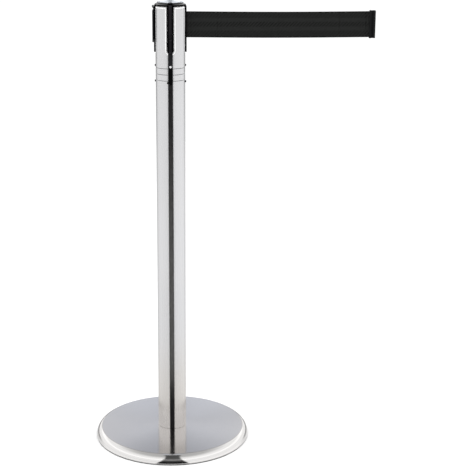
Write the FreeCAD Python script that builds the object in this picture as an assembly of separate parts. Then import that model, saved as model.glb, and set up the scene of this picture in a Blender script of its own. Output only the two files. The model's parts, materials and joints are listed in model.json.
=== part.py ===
"""Retractable belt stanchion: a weighted round base, a four-slot post, a belt cassette head and its belt.

Millimetres, +Z up, origin on the floor at the post's axis. The belt leaves the head along +X.
Each sub-part is written to parts/NODE.step.
"""
import FreeCAD
import Part
import math
import os

Vec = FreeCAD.Vector
UP = Vec(0, 0, 1)

# ---- driving dimensions -------------------------------------------------------------------
TOTAL_H = 900.0          # floor to the crown of the cap
BASE_R = 157.0           # outer radius of the base cover
BASE_H = 21.0            # floor to the seat in the middle of the base
POST_R = 29.0            # outer radius of the post, spacer rings and head panels
BELT_W = 50.0            # webbing width
BELT_T = 0.4             # webbing thickness
BELT_END_X = 396.0       # outermost face of the belt clip as pulled out
CLEAR = 0.25             # gap between pieces that are slipped together
HAIR = 0.02              # gap between faces that are pressed together
OVER = 1.0               # how far a cutting tool reaches past the face it cuts
FACE_ANGLES = {"right": 0, "back": 90, "left": 180, "front": 270}
DIAGONALS = (45, 135, 225, 315)

# ---- base ---------------------------------------------------------------------------------
COVER_T = 1.2
COVER_HOLE_R = 6.0
SEAT_R = 32.0            # flat seat for the post
CROWN = 1.0              # how much the top falls from the seat to the crease
CREASE_R = 145.5         # where the top breaks into the rim
CREASE_SLOPE = 20.0      # how steeply the rim starts down from the crease, in degrees
SKIRT_LOW = 1.8          # lower edge of the cover above the floor
WEIGHT_LOW = 3.0
WEIGHT_TOP_R = 142.0
WEIGHT_R = 151.0
WEIGHT_FOOT_R = 149.0
WEIGHT_EDGE_LOW = 5.0    # the weight's upright edge, from here ...
WEIGHT_EDGE_TOP = 8.0    # ... to here
WEIGHT_HOLE_R = 5.3
WEIGHT_POCKET_R = 18.0   # recess for the bolt's head and washers
MAT_R = 156.6
MAT_LIP = 1.5            # thickness of the mat's lip under the cover's edge
MAT_RAISED_R = 148.0
BOLT_SEAT = 12.5         # where the washer presses on the base weight
BOLT_R = 4.9
BOLT_TOP = 50.0
BOLT_HEAD_AF = 17.0      # bolt head across its flats
BOLT_HEAD_H = 5.6
WASHER_R = 15.0
WASHER_T = 1.6
LOCK_R = 8.6
LOCK_T = 2.2
LOCK_GAP = 1.2           # the split in the lock washer

# ---- heights up the post ------------------------------------------------------------------
PLUG_TOP = 60.0
FOOT_BLOCK_TOP = 51.0    # top of the blocks that close the slots at the foot
SPIGOT_LOW = 690.0       # lower end of the coupling inside the post
KEY_LOW = 737.0          # lower end of the alignment keys
HOOK_LOW = 739.0         # the keys' stops, from here ...
HOOK_TOP = 742.4         # ... to here
POST_TOP = 744.0
RING_H = 11.3
SEAM = 0.6               # visible groove between stacked metal pieces
RING_LOW = POST_TOP + SEAM
RING_HIGH = RING_LOW + RING_H + SEAM
PANEL_LOW = RING_HIGH + RING_H + SEAM
HEAD_SCREW_Z = 771.8
CUP_LOW = 776.0          # cup of the belt's power spring
CUP_TOP = 797.0
INSERT_LOW = 797.0       # rounded lower end of the receivers
CORE_LOW = 797.2
BELT_MID_Z = 850.2
BELT_LOW = BELT_MID_Z - BELT_W / 2
BELT_TOP = BELT_MID_Z + BELT_W / 2
T_FLOOR = BELT_LOW - 1.7 # floor of the receivers' T-slot
CORE_TOP = 884.0
LID_LOW = 884.2
PANEL_TOP = 886.0
COLLAR_LOW = 886.3
RECEIVER_TOP = 888.4
LID_TOP = 889.0
COLLAR_BEND = 889.5      # where the collar's upright side turns into its bevel
COLLAR_NECK_LOW = 891.2
COLLAR_TOP = 893.0
CAP_EDGE = 894.2         # top of the cap's upright edge

# ---- four-slot extrusion ------------------------------------------------------------------
WALL = 2.2
SLOT_W = 9.0
CHANNEL_W = 13.0         # hollow width behind the slot
CHANNEL_FLOOR = 21.0     # distance of the channel floor from the axis
CHANNEL_TOP = 26.6
WEB = 1.6                # wall round each channel
LIP_ROUND = 0.8          # rounding on the slot's outer edges
END_BEVEL = 0.35         # bevel round the ends of the metal pieces
STRIP_SINK = 1.9         # how far the infill strips lie below the post's surface
KEY_SINK = 1.2
BLOCK_SINK = 2.4
FILLER_CLEAR = 0.2       # gap between a slot's sides and what fills it
HOOK_PROUD = 1.5         # how far the keys' stops stand out
HOOK_REACH = 2.6         # how far they reach over the slot's edge

# ---- head shell ---------------------------------------------------------------------------
INSERT_IN = 21.5         # receivers reach from here ...
INSERT_OUT = 31.5        # ... to here
INSERT_HALF = 6.1
INSERT_END_R = 6.5
INSERT_BEVEL = 0.8
T_CAVITY_HALF = 5.0      # the T-slot's hollow behind the lips
T_CAVITY_IN = 22.7
T_LIP_IN = 28.3
T_MOUTH_HALF = 2.5
GROOVE_LOW = 804.0       # the shallow groove that carries the mouth's line on below the T-slot
GROOVE_DEEP = 1.4
TOP_CUT_IN = 1.6         # sloped corner at the receivers' top: how far in ...
TOP_CUT_DOWN = 6.2       # ... and how far down
PANEL_IN = 26.5
PANEL_BEVEL = 2.0        # bevel that frames the black inserts
SPIGOT_BORE = 10.0
SPIGOT_RIB_IN = 20.0
SPIGOT_RIB_SINK = 1.5
PILOT_R = 1.6
HEAD_SCREW_R = 2.1
HEAD_SCREW_SEAT = POST_R - 1.4
HEAD_SCREW_H = 3.0
HEAD_SCREW_DOME = 1.3
HEAD_SCREW_SHANK_R = 1.5
HEAD_SCREW_SHANK_L = 8.0
HEAD_SCREW_DRIVE_R = 0.8
HEAD_SCREW_DRIVE_DEEP = 1.0
OUTLET_SLIT = 0.9        # half the width of the slit that the belt leaves by
OUTLET_FLARE = 2.6       # half its width at the outer face
OUTLET_FLARE_DEEP = 2.0
OUTLET_POCKET = 4.2      # half the width of the pocket for the guide pins
BELT_ROOM = 0.6          # free height above and below the belt in the outlet
GUIDE_R = 1.5            # the two pins that the belt runs between
GUIDE_X = 23.0
GUIDE_PAST = 4.5         # how far they reach past the belt's edges
CORE_R = 26.2
CORE_BORE = 20.0
CORE_FLOOR = 5.8         # thickness of the floor under the drum
FLOOR_HOLE_R = 7.2
WINDOW_IN = 15.0         # the core's window for the belt, from this far out ...
WINDOW_LOW_Y = -5.5      # ... between these two sides
WINDOW_HIGH_Y = 4.2
COLLAR_R = 29.7
COLLAR_NECK_R = 25.6     # upright wall above the bevel
COLLAR_EDGE = 0.4
COLLAR_MOUTH_HALF = 3.2  # the collar's notch is a little wider than the receiver's mouth
COLLAR_SCREW_R = 23.6    # where the four collar screws stand
SCREW_HEAD_R = 1.5
SCREW_HEAD_H = 1.25
SCREW_HEAD_SINK = 0.3
SCREW_SHANK_R = 0.95
SCREW_SHANK_LOW = 876.0
CROSS_HALF = 0.22
CROSS_DEEP = 0.6
CAP_R = 21.4
CAP_ROUND = 1.2
CAP_LIFT = 0.05

# ---- drum, spring and brake ---------------------------------------------------------------
SPINDLE_R = 3.0
SPINDLE_FIT = 0.04       # running clearance of the bushes
HUB_LOW = 779.0
HUB_TOP = 879.0
HUB_R = 6.5
HUB_BORE_CLEAR = 0.4
DRUM_R = 8.5             # the belt winds on this
DRUM_LOW = BELT_LOW - 1.0    # top of the lower flange
DRUM_TOP = BELT_TOP + 1.0    # underside of the upper flange
FLANGE_R = 19.2
FLANGE_T = 1.5
ROLL_R = 17.3            # outside of the wound belt with the belt pulled out this far
BUSH_R = 4.5
BUSH_L = 14.0
ANCHOR_R = 1.0           # pin that holds the belt's inner end
ANCHOR_X = DRUM_R - 1.25
ANCHOR_GROOVE_R = 1.35
THRUST_R = 6.0
THRUST_T = 0.8
THRUST_GAP = 0.2
CIRCLIP_IN = 2.45
CIRCLIP_R = 5.2
CIRCLIP_T = 0.75
CIRCLIP_MOUTH = 1.8      # half the opening of the circlip
CIRCLIP_Z = HUB_TOP + 1.35
CIRCLIP_SIDE = 0.05
BRAKE_LOW = 806.0
BRAKE_TOP = 820.0
BRAKE_MID = (BRAKE_LOW + BRAKE_TOP) / 2
BRAKE_RING_GAP = 0.9     # between shoe and brake ring at rest
SHOE_OUT = 16.9
SHOE_IN = 13.0
SHOE_INSET = 2.0         # how much lower the shoes are than the brake ring, top and bottom
SHOE_SPAN = 55.0         # each shoe reaches this many degrees either side of its middle
SHOE_PIVOT_R = 14.2
SHOE_PIVOT_A = -47.0
SHOE_PIN_R = 1.2
SHOE_PIN_CLEAR = 0.05
GARTER_R = 16.0          # middle line of the garter spring round the shoes
GARTER_WIRE_R = 0.5
GARTER_GROOVE = 0.75
CUP_R = 23.8
CUP_WALL = 1.5
CUP_FLOOR = 1.9
CUP_LID_T = 1.55
CUP_LID_SINK = 0.4
SPRING_IN = 7.1
SPRING_PITCH = 1.2
SPRING_HALF_TURNS = 24
SPRING_T = 0.3
SPRING_SIDE = 3.2        # free height between the spring and both ends of its cup

# ---- belt clip: a T that slides down into a receiver ---------------------------------------
CLIP_FACE = 31.7         # back of the grip plate when parked in a receiver
CLIP_OUT = 34.5
CLIP_HALF = 5.75
CLIP_BEVEL = 0.7
CLIP_LOW = 816.7         # lower end of the spare clip's long grip plate
CLIP_SHOULDER = 876.3    # top of the grip plate's full thickness
NOTCH_X = 32.5           # bottom of the finger notch
NOTCH_Z = 880.4
LIP_X = 35.1             # tip of the lip above the notch
LIP_LOW = 885.2
LIP_TOP = 886.0
CLIP_TOP = 887.2
NECK_HALF = 2.2
TEE_IN = 23.3
TEE_OUT = 27.9
TEE_HALF = 4.6
TEE_LOW = T_FLOOR + 0.2
TEE_TOP = BELT_TOP + 1.5
TEE_BEVEL = 0.8
PIN_X = (TEE_IN + TEE_OUT) / 2
PIN_R = 1.1              # pin in the belt's sewn loop
PIN_BORE = 1.75
PIN_PAST = 0.8           # how far the pin reaches past the belt's edges
BELT_SLIT = 0.6          # half the clip's slit for the belt
BELT_SLIT_ROOM = 0.3


# ---- small helpers ------------------------------------------------------------------------
def cyl(r, z0, z1, x=0.0, y=0.0):
    """Upright cylinder between two heights."""
    return Part.makeCylinder(r, z1 - z0, Vec(x, y, z0))


def ring(r_in, r_out, z0, z1, x=0.0, y=0.0):
    """Upright tube between two heights."""
    return cyl(r_out, z0, z1, x, y).cut(cyl(r_in, z0 - OVER, z1 + OVER, x, y))


def box(x0, x1, y0, y1, z0, z1):
    """Box between two corners."""
    return Part.makeBox(x1 - x0, y1 - y0, z1 - z0, Vec(x0, y0, z0))


def rod(r, start, along, length):
    """Cylinder from a point in any direction."""
    return Part.makeCylinder(r, length, Vec(*start), Vec(*along))


def turn(shape, angle):
    """A copy turned about the post's axis."""
    copy = shape.copy()
    copy.rotate(Vec(0, 0, 0), UP, angle)
    return copy


def raised(shape, z):
    """A copy moved up."""
    copy = shape.copy()
    copy.translate(Vec(0, 0, z))
    return copy


def four(shape):
    """The shape at all four faces of the post."""
    return [turn(shape, angle) for angle in FACE_ANGLES.values()]


def corners(shape):
    """The shape at the four places between the faces."""
    return [turn(shape, angle) for angle in DIAGONALS]


def join(shapes):
    """All shapes as one solid, without leftover seams."""
    whole = shapes[0]
    for shape in shapes[1:]:
        whole = whole.fuse(shape)
    return whole.removeSplitter()


def drill(shape, tools):
    """The shape with every tool cut out of it."""
    for tool in tools:
        shape = shape.cut(tool)
    return shape


def turned(edges):
    """Solid of revolution about the post's axis, from a closed outline in X and Z."""
    return Part.Face(Part.Wire(edges)).revolve(Vec(0, 0, 0), UP, 360)


def line_xz(x0, z0, x1, z1):
    return Part.makeLine(Vec(x0, 0, z0), Vec(x1, 0, z1))


def outline_xz(points):
    """Closed polygon in X and Z, as edges."""
    closed = list(points) + [points[0]]
    return [line_xz(*a, *b) for a, b in zip(closed, closed[1:])]


def prism(points, along):
    """Solid with straight sides from a polygon, pushed along a vector."""
    return Part.Face(Part.makePolygon(points + points[:1])).extrude(along)


def prism_y(points, y0, y1):
    """Prism along Y over points given as X, Z."""
    return prism([Vec(x, y0, z) for x, z in points], Vec(0, y1 - y0, 0))


def prism_z(points, z0, z1):
    """Prism along Z over points given as X, Y."""
    return prism([Vec(x, y, z0) for x, y in points], Vec(0, 0, z1 - z0))


def arc_xz(cx, cz, r, a0, a1):
    """Arc in X and Z about a centre, from angle a0 to a1 in degrees."""
    def at(a):
        t = math.radians(a)
        return Vec(cx + r * math.cos(t), 0, cz + r * math.sin(t))
    return Part.Arc(at(a0), at((a0 + a1) / 2), at(a1)).toShape()


def edges_where(shape, test):
    """The edges that pass a test of the edge and its middle point."""
    return [e for e in shape.Edges if test(e, e.valueAt((e.FirstParameter + e.LastParameter) / 2))]


def fillet_where(shape, radius, test):
    return shape.makeFillet(radius, edges_where(shape, test))


def chamfer_where(shape, size, test):
    return shape.makeChamfer(size, edges_where(shape, test))


def upright(edge):
    """True for an edge that runs along Z."""
    a, b = edge.Vertexes[0].Point, edge.Vertexes[-1].Point
    return abs(a.x - b.x) < 1e-4 and abs(a.y - b.y) < 1e-4 and abs(a.z - b.z) > 1e-4


def near(a, b):
    return abs(a - b) < 1e-3


def off_axis(p):
    """Distance of a point from the post's axis."""
    return math.hypot(p.x, p.y)


def save(name, *shapes):
    """Writes one node, which may hold several separate solids."""
    solids = [s for shape in shapes for s in shape.Solids]
    for solid in solids:
        if not solid.isValid() or solid.Volume <= 0:
            raise ValueError(f"{name} has a bad solid")
    whole = solids[0] if len(solids) == 1 else Part.makeCompound(solids)
    whole.exportStep(f"parts/{name}.step")
    print(f"{name:24s} {len(solids)} solid(s) {sum(s.Volume for s in solids) / 1000:9.2f} cm3")


# ---- base ---------------------------------------------------------------------------------
def crown_arc(z, x_end):
    """Faint dome that leaves the seat level and ends lower by the crown."""
    run = x_end - SEAT_R
    radius = (run ** 2 + CROWN ** 2) / (2 * CROWN)
    return arc_xz(SEAT_R, z - radius, radius, 90, 90 - math.degrees(math.asin(run / radius)))


def base_cover():
    """Spun sheet disc: flat seat, faint dome, a crease, then a rim that curves over into a short skirt."""
    slope = math.radians(CREASE_SLOPE)
    rim = (BASE_R - CREASE_R) / (1 - math.sin(slope))
    cx, cz = BASE_R - rim, BASE_H - CROWN - rim * math.cos(slope)
    inner, inner_top = rim - COVER_T, BASE_H - COVER_T
    inner_angle = math.degrees(math.asin((inner_top - CROWN - cz) / inner))
    inner_x = cx + inner * math.cos(math.radians(inner_angle))
    return turned([
        line_xz(COVER_HOLE_R, BASE_H, SEAT_R, BASE_H),
        crown_arc(BASE_H, CREASE_R),
        arc_xz(cx, cz, rim, 90 - CREASE_SLOPE, 0),
        line_xz(BASE_R, cz, BASE_R, SKIRT_LOW),
        line_xz(BASE_R, SKIRT_LOW, BASE_R - COVER_T, SKIRT_LOW),
        line_xz(BASE_R - COVER_T, SKIRT_LOW, BASE_R - COVER_T, cz),
        arc_xz(cx, cz, inner, 0, inner_angle),
        crown_arc(inner_top, inner_x),
        line_xz(SEAT_R, inner_top, COVER_HOLE_R, inner_top),
        line_xz(COVER_HOLE_R, inner_top, COVER_HOLE_R, BASE_H),
    ])


def base_weight():
    """Cast disc under the cover, with a stepped hole for the bolt."""
    top = BASE_H - COVER_T - CLEAR / 2
    return turned(outline_xz([
        (WEIGHT_HOLE_R, BOLT_SEAT), (WEIGHT_POCKET_R, BOLT_SEAT), (WEIGHT_POCKET_R, WEIGHT_LOW),
        (WEIGHT_FOOT_R, WEIGHT_LOW), (WEIGHT_R, WEIGHT_EDGE_LOW), (WEIGHT_R, WEIGHT_EDGE_TOP),
        (WEIGHT_TOP_R, top - CROWN), (SEAT_R, top), (WEIGHT_HOLE_R, top)]))


def floor_mat():
    """Rubber mat over the whole underside, with a thin lip below the cover's edge."""
    top = WEIGHT_LOW - HAIR
    return turned(outline_xz([(0, 0), (MAT_R, 0), (MAT_R, MAT_LIP), (WEIGHT_FOOT_R, MAT_LIP),
                              (MAT_RAISED_R, top), (0, top)]))


def hexagon(across, z0, z1):
    """Upright hexagonal prism."""
    r = across / math.sqrt(3)
    sixths = [math.radians(60 * k) for k in range(6)]
    return prism_z([(r * math.cos(a), r * math.sin(a)) for a in sixths], z0, z1)


def make_base():
    """Cover, weight, mat, and the bolt, washer and split lock washer that clamp them to the post."""
    save("base_cover", base_cover())
    save("base_weight", base_weight())
    save("floor_mat", floor_mat())
    washer_low = BOLT_SEAT - WASHER_T
    lock_low = washer_low - LOCK_T
    head = hexagon(BOLT_HEAD_AF, lock_low - BOLT_HEAD_H, lock_low - HAIR)
    save("base_bolt", join([head, cyl(BOLT_R, lock_low - OVER, BOLT_TOP)]))
    save("base_washer", ring(BOLT_R + CLEAR, WASHER_R, washer_low, BOLT_SEAT - HAIR))
    split = box(0, LOCK_R + OVER, -LOCK_GAP / 2, LOCK_GAP / 2, lock_low - OVER, washer_low + OVER)
    save("lock_washer", ring(BOLT_R + CLEAR, LOCK_R, lock_low, washer_low - HAIR).cut(split))


# ---- post ---------------------------------------------------------------------------------
def inner_star(z0, z1, bore):
    """What fits inside the profile between its four channels."""
    half = CHANNEL_W / 2 + WEB + CLEAR
    channels = four(box(CHANNEL_FLOOR - WEB - CLEAR, POST_R + OVER, -half, half, z0 - OVER, z1 + OVER))
    star = drill(cyl(POST_R - WALL - CLEAR, z0, z1), channels)
    return star.cut(cyl(bore, z0 - OVER, z1 + OVER))


def profile(z0, z1):
    """A length of the four-slot extrusion."""
    half = CHANNEL_W / 2 + WEB
    inside = POST_R - WALL
    walls = four(box(CHANNEL_FLOOR - WEB, inside + WALL / 4, -half, half, z0, z1))
    solid = join([ring(inside, POST_R, z0, z1)] + walls)
    hollow = four(box(CHANNEL_FLOOR, CHANNEL_TOP, -CHANNEL_W / 2, CHANNEL_W / 2, z0 - OVER, z1 + OVER))
    slots = four(box(CHANNEL_TOP - OVER / 2, POST_R + OVER, -SLOT_W / 2, SLOT_W / 2, z0 - OVER, z1 + OVER))
    solid = drill(solid, hollow + slots)
    return fillet_where(solid, LIP_ROUND, lambda e, p: upright(e) and off_axis(p) > POST_R - WALL / 4)


def cut_length(z0, z1):
    """A length of the extrusion with its outer edges bevelled at both ends."""
    def outer_end(e, p):
        return not upright(e) and off_axis(p) > POST_R - 0.05 and (near(p.z, z0) or near(p.z, z1))
    return chamfer_where(profile(z0, z1), END_BEVEL, outer_end)


def slot_filler(z0, z1, sink):
    """T-shaped length that fills a channel and its slot, facing +X, sunk below the post's surface."""
    side = CHANNEL_W / 2 - FILLER_CLEAR
    neck = SLOT_W / 2 - FILLER_CLEAR
    wide = box(CHANNEL_FLOOR + FILLER_CLEAR, CHANNEL_TOP - FILLER_CLEAR, -side, side, z0, z1)
    return join([wide, box(CHANNEL_TOP - OVER, POST_R - sink, -neck, neck, z0, z1)])


def alignment_key():
    """Key that lines up the post and both rings, with a small stop that hooks over the slot's edge."""
    side = -SLOT_W / 2 + FILLER_CLEAR
    top_x = POST_R + HOOK_PROUD
    body = slot_filler(KEY_LOW, PANEL_LOW - CLEAR, KEY_SINK)
    stem = box(POST_R - KEY_SINK - CLEAR, top_x, side, side + OVER, HOOK_LOW, HOOK_TOP)
    stop = box(POST_R - WALL, top_x, side - HOOK_REACH, side + OVER / 2, HOOK_LOW, HOOK_TOP)
    stop = stop.cut(cyl(POST_R + CLEAR / 2, HOOK_LOW - OVER, HOOK_TOP + OVER))
    return join([body, stem, stop])


def make_post():
    save("post_profile", cut_length(BASE_H, POST_TOP))
    save("spacer_ring_lower", cut_length(RING_LOW, RING_LOW + RING_H))
    save("spacer_ring_upper", cut_length(RING_HIGH, RING_HIGH + RING_H))
    strip = slot_filler(FOOT_BLOCK_TOP + CLEAR, KEY_LOW - CLEAR, STRIP_SINK)
    for face, angle in FACE_ANGLES.items():
        save(f"slot_infill_{face}", turn(strip, angle))
    save("slot_foot_blocks", *four(slot_filler(BASE_H + CLEAR, FOOT_BLOCK_TOP, BLOCK_SINK)))
    save("alignment_keys", *four(alignment_key()))
    save("foot_plug", inner_star(BASE_H + HAIR, PLUG_TOP, BOLT_R + CLEAR / 2))


# ---- head shell ---------------------------------------------------------------------------
def insert_block(grow, z_top):
    """Outer form of a receiver facing +X: upright block with a rounded lower end."""
    end_z = INSERT_LOW + INSERT_END_R
    half = INSERT_HALF + grow
    block = box(INSERT_IN - grow, INSERT_OUT, -half, half, end_z, z_top)
    end = rod(INSERT_END_R + grow, (INSERT_IN - grow, 0, end_z), (1, 0, 0), INSERT_OUT - INSERT_IN + grow)
    return join([block, end])


def head_spigot():
    """Plastic coupling: a star inside the post and rings, and a cup for the spring inside the head."""
    top = CORE_LOW - CLEAR / 2
    neck = SLOT_W / 2 - FILLER_CLEAR
    ribs = four(box(SPIGOT_RIB_IN, POST_R - SPIGOT_RIB_SINK, -neck, neck, PANEL_LOW, INSERT_LOW - OVER))
    upper = drill(join([cyl(CORE_R, PANEL_LOW, top)] + ribs), four(insert_block(CLEAR, PANEL_TOP)))
    upper = upper.cut(cyl(SPIGOT_BORE, PANEL_LOW - OVER, CUP_LOW + OVER))
    whole = join([upper, inner_star(SPIGOT_LOW, PANEL_LOW, SPIGOT_BORE)])
    whole = whole.cut(cyl(CUP_R + CLEAR, CUP_LOW - CLEAR, top + OVER))
    shank = HEAD_SCREW_SEAT - HEAD_SCREW_SHANK_L
    return drill(whole, four(rod(PILOT_R, (shank - OVER, 0, HEAD_SCREW_Z), (1, 0, 0), POST_R)))


def head_screw():
    """Pan-head screw that faces +X and stands a little proud of the slot."""
    seat, z = HEAD_SCREW_SEAT, HEAD_SCREW_Z
    crown = seat + HEAD_SCREW_H
    shank = rod(HEAD_SCREW_SHANK_R, (seat - HEAD_SCREW_SHANK_L, 0, z), (1, 0, 0), HEAD_SCREW_SHANK_L + CLEAR)
    head = rod(HEAD_SCREW_R, (seat, 0, z), (1, 0, 0), HEAD_SCREW_H)
    head = fillet_where(head, HEAD_SCREW_DOME, lambda e, p: near(p.x, crown))
    drive = rod(HEAD_SCREW_DRIVE_R, (crown - HEAD_SCREW_DRIVE_DEEP, 0, z), (1, 0, 0), HEAD_SCREW_H)
    return join([shank, head]).cut(drive)


def head_panels():
    """Four bright panels between the receivers, each under its own name."""
    shell = ring(PANEL_IN, POST_R, PANEL_LOW, PANEL_TOP)
    slots = four(box(CORE_R - OVER, POST_R + OVER, -SLOT_W / 2, SLOT_W / 2,
                     PANEL_LOW - OVER, PANEL_TOP + OVER))
    pieces = drill(shell, slots + four(insert_block(CLEAR, PANEL_TOP + OVER))).Solids
    named = {}
    for piece in pieces:
        centre = piece.CenterOfMass
        side = "front" if centre.y < 0 else "back"
        hand = "right" if centre.x > 0 else "left"
        named[f"head_panel_{side}_{hand}"] = bevel_panel(piece)
    return named


def bevel_panel(piece):
    """A broad bevel where the panel frames the inserts and meets the collar, a fine one at its lower seam."""
    def outer(p):
        return off_axis(p) > POST_R - HAIR
    piece = chamfer_where(piece, PANEL_BEVEL, lambda e, p: outer(p) and p.z > INSERT_LOW + OVER)
    return chamfer_where(piece, END_BEVEL, lambda e, p: outer(p) and near(p.z, PANEL_LOW))


def soften_insert(block):
    """Bevels the insert's outer face and slopes its top corner outwards and down."""
    body = chamfer_where(block, INSERT_BEVEL, lambda e, p: near(p.x, INSERT_OUT))
    half = INSERT_HALF + OVER
    wedge = prism_y([(INSERT_OUT - TOP_CUT_IN, RECEIVER_TOP + HAIR), (INSERT_OUT + OVER, RECEIVER_TOP + HAIR),
                     (INSERT_OUT + OVER, RECEIVER_TOP - TOP_CUT_DOWN)], -half, half)
    return body.cut(wedge)


def tee_slot(z0, z1, mouth_half):
    """Cutters for the T-slot facing +X: the hollow behind the lips and the mouth between them."""
    return [box(T_CAVITY_IN, T_LIP_IN, -T_CAVITY_HALF, T_CAVITY_HALF, z0, z1),
            box(T_LIP_IN - OVER, INSERT_OUT + OVER, -mouth_half, mouth_half, z0, z1)]


def receiver():
    """Insert with the T-slot that a belt clip slides down into, facing +X."""
    face = INSERT_OUT - GROOVE_DEEP
    groove = join([box(face, INSERT_OUT + OVER, -T_MOUTH_HALF, T_MOUTH_HALF, GROOVE_LOW, T_FLOOR + OVER),
                   rod(T_MOUTH_HALF, (face, 0, GROOVE_LOW), (1, 0, 0), GROOVE_DEEP + OVER)])
    body = soften_insert(insert_block(0, RECEIVER_TOP))
    return drill(body, tee_slot(T_FLOOR, RECEIVER_TOP + OVER, T_MOUTH_HALF) + [groove])


def guide_ys():
    """The two guide pins' places across the belt, which runs between them on y = 0."""
    off = GUIDE_R + BELT_T / 2 + 0.05
    return (-off, off)


def belt_outlet():
    """Insert that lets the belt out between two guide pins, facing +X."""
    body = soften_insert(insert_block(0, RECEIVER_TOP))
    low, high = BELT_LOW - BELT_ROOM, BELT_TOP + BELT_ROOM
    slit = box(INSERT_IN - OVER, INSERT_OUT + OVER, -OUTLET_SLIT, OUTLET_SLIT, low, high)
    pocket_end = GUIDE_X + GUIDE_R + BELT_T
    pocket = box(INSERT_IN - OVER, pocket_end, -OUTLET_POCKET, OUTLET_POCKET, DRUM_LOW, DRUM_TOP)
    past = GUIDE_PAST + CLEAR
    sockets = [cyl(GUIDE_R + 2 * HAIR, BELT_LOW - past, BELT_TOP + past, GUIDE_X, y) for y in guide_ys()]
    flare_in, flare_out = INSERT_OUT - OUTLET_FLARE_DEEP, INSERT_OUT + CLEAR
    flare = prism_z([(flare_in, -OUTLET_SLIT), (flare_in, OUTLET_SLIT), (flare_out, OUTLET_FLARE),
                     (flare_out, -OUTLET_FLARE)], low, high)
    return drill(body, [slit, pocket, flare] + sockets)


def cassette_core():
    """Black frame that carries the receivers, panels, lid and drum."""
    body = cyl(CORE_R, CORE_LOW, CORE_TOP)
    recesses = four(insert_block(CLEAR, CORE_TOP + OVER))
    bore = cyl(CORE_BORE, CORE_LOW + CORE_FLOOR, CORE_TOP + OVER)
    hub_hole = cyl(FLOOR_HOLE_R, CORE_LOW - OVER, CORE_LOW + CORE_FLOOR + OVER)
    window = box(WINDOW_IN, INSERT_IN + OVER, WINDOW_LOW_Y, WINDOW_HIGH_Y, DRUM_LOW, DRUM_TOP)
    pilots = corners(cyl(SCREW_SHANK_R + HAIR, SCREW_SHANK_LOW - OVER, CORE_TOP + OVER, COLLAR_SCREW_R, 0))
    return drill(body, recesses + [bore, hub_hole, window] + pilots)


def top_collar():
    """Black lid with a stepped, bevelled rim; the clips drop in through the T-shaped notches."""
    seat_r = CAP_R + CLEAR
    body = turned(outline_xz([
        (0, LID_LOW), (CORE_R, LID_LOW), (CORE_R, COLLAR_LOW), (COLLAR_R, COLLAR_LOW),
        (COLLAR_R, COLLAR_BEND), (COLLAR_NECK_R, COLLAR_NECK_LOW), (COLLAR_NECK_R, COLLAR_TOP - COLLAR_EDGE),
        (COLLAR_NECK_R - COLLAR_EDGE, COLLAR_TOP), (seat_r, COLLAR_TOP), (seat_r, LID_TOP), (0, LID_TOP)]))
    body = drill(body, four(insert_block(CLEAR / 2, RECEIVER_TOP + CLEAR / 2)))
    for face in ("front", "back", "left"):
        body = drill(body, [turn(cutter, FACE_ANGLES[face])
                            for cutter in tee_slot(LID_LOW - OVER, COLLAR_TOP + OVER, COLLAR_MOUTH_HALF)])
    body = body.cut(cyl(SPINDLE_R + SPINDLE_FIT, LID_LOW - OVER, LID_TOP - OVER))
    head_low = COLLAR_TOP - SCREW_HEAD_SINK - SCREW_HEAD_H
    heads = corners(cyl(SCREW_HEAD_R + CLEAR / 2, head_low - HAIR, COLLAR_TOP + OVER, COLLAR_SCREW_R, 0))
    holes = corners(cyl(SCREW_SHANK_R + CLEAR / 2, LID_LOW - OVER, COLLAR_TOP, COLLAR_SCREW_R, 0))
    return drill(body, heads + holes)


def collar_screw():
    """Small pan-head screw with a cross slot, at the collar's seat on +X."""
    x, top = COLLAR_SCREW_R, COLLAR_TOP - SCREW_HEAD_SINK
    head = cyl(SCREW_HEAD_R, top - SCREW_HEAD_H, top, x, 0)
    shank = cyl(SCREW_SHANK_R, SCREW_SHANK_LOW, top - SCREW_HEAD_H / 2, x, 0)
    low = top - CROSS_DEEP
    cross = [box(x - OVER, x + OVER, -CROSS_HALF, CROSS_HALF, low, top + OVER),
             box(x - CROSS_HALF, x + CROSS_HALF, -OVER, OVER, low, top + OVER)]
    return drill(join([head, shank]), cross)


def cap_dome():
    """Polished crowned button in the middle of the collar."""
    low = LID_TOP + CAP_LIFT
    crown_edge = CAP_R - CAP_ROUND
    rise = TOTAL_H - CAP_EDGE - CAP_ROUND
    crown_r = (crown_edge ** 2 + rise ** 2) / (2 * rise)
    half_angle = math.degrees(math.asin(crown_edge / crown_r))
    return turned([
        line_xz(0, low, CAP_R, low),
        line_xz(CAP_R, low, CAP_R, CAP_EDGE),
        arc_xz(crown_edge, CAP_EDGE, CAP_ROUND, 0, 90),
        arc_xz(0, TOTAL_H - crown_r, crown_r, 90 - half_angle, 90),
        line_xz(0, TOTAL_H, 0, low),
    ])


def make_head_shell():
    save("head_spigot", head_spigot())
    save("head_screws", *four(head_screw()))
    for name, panel in head_panels().items():
        save(name, panel)
    for face in ("front", "back", "left"):
        save(f"receiver_{face}", turn(receiver(), FACE_ANGLES[face]))
    save("belt_outlet", belt_outlet())
    save("guide_pins", *[cyl(GUIDE_R, BELT_LOW - GUIDE_PAST, BELT_TOP + GUIDE_PAST, GUIDE_X, y)
                         for y in guide_ys()])
    save("cassette_core", cassette_core())
    save("top_collar", top_collar())
    save("collar_screws", *corners(collar_screw()))
    save("cap_dome", cap_dome())


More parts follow.
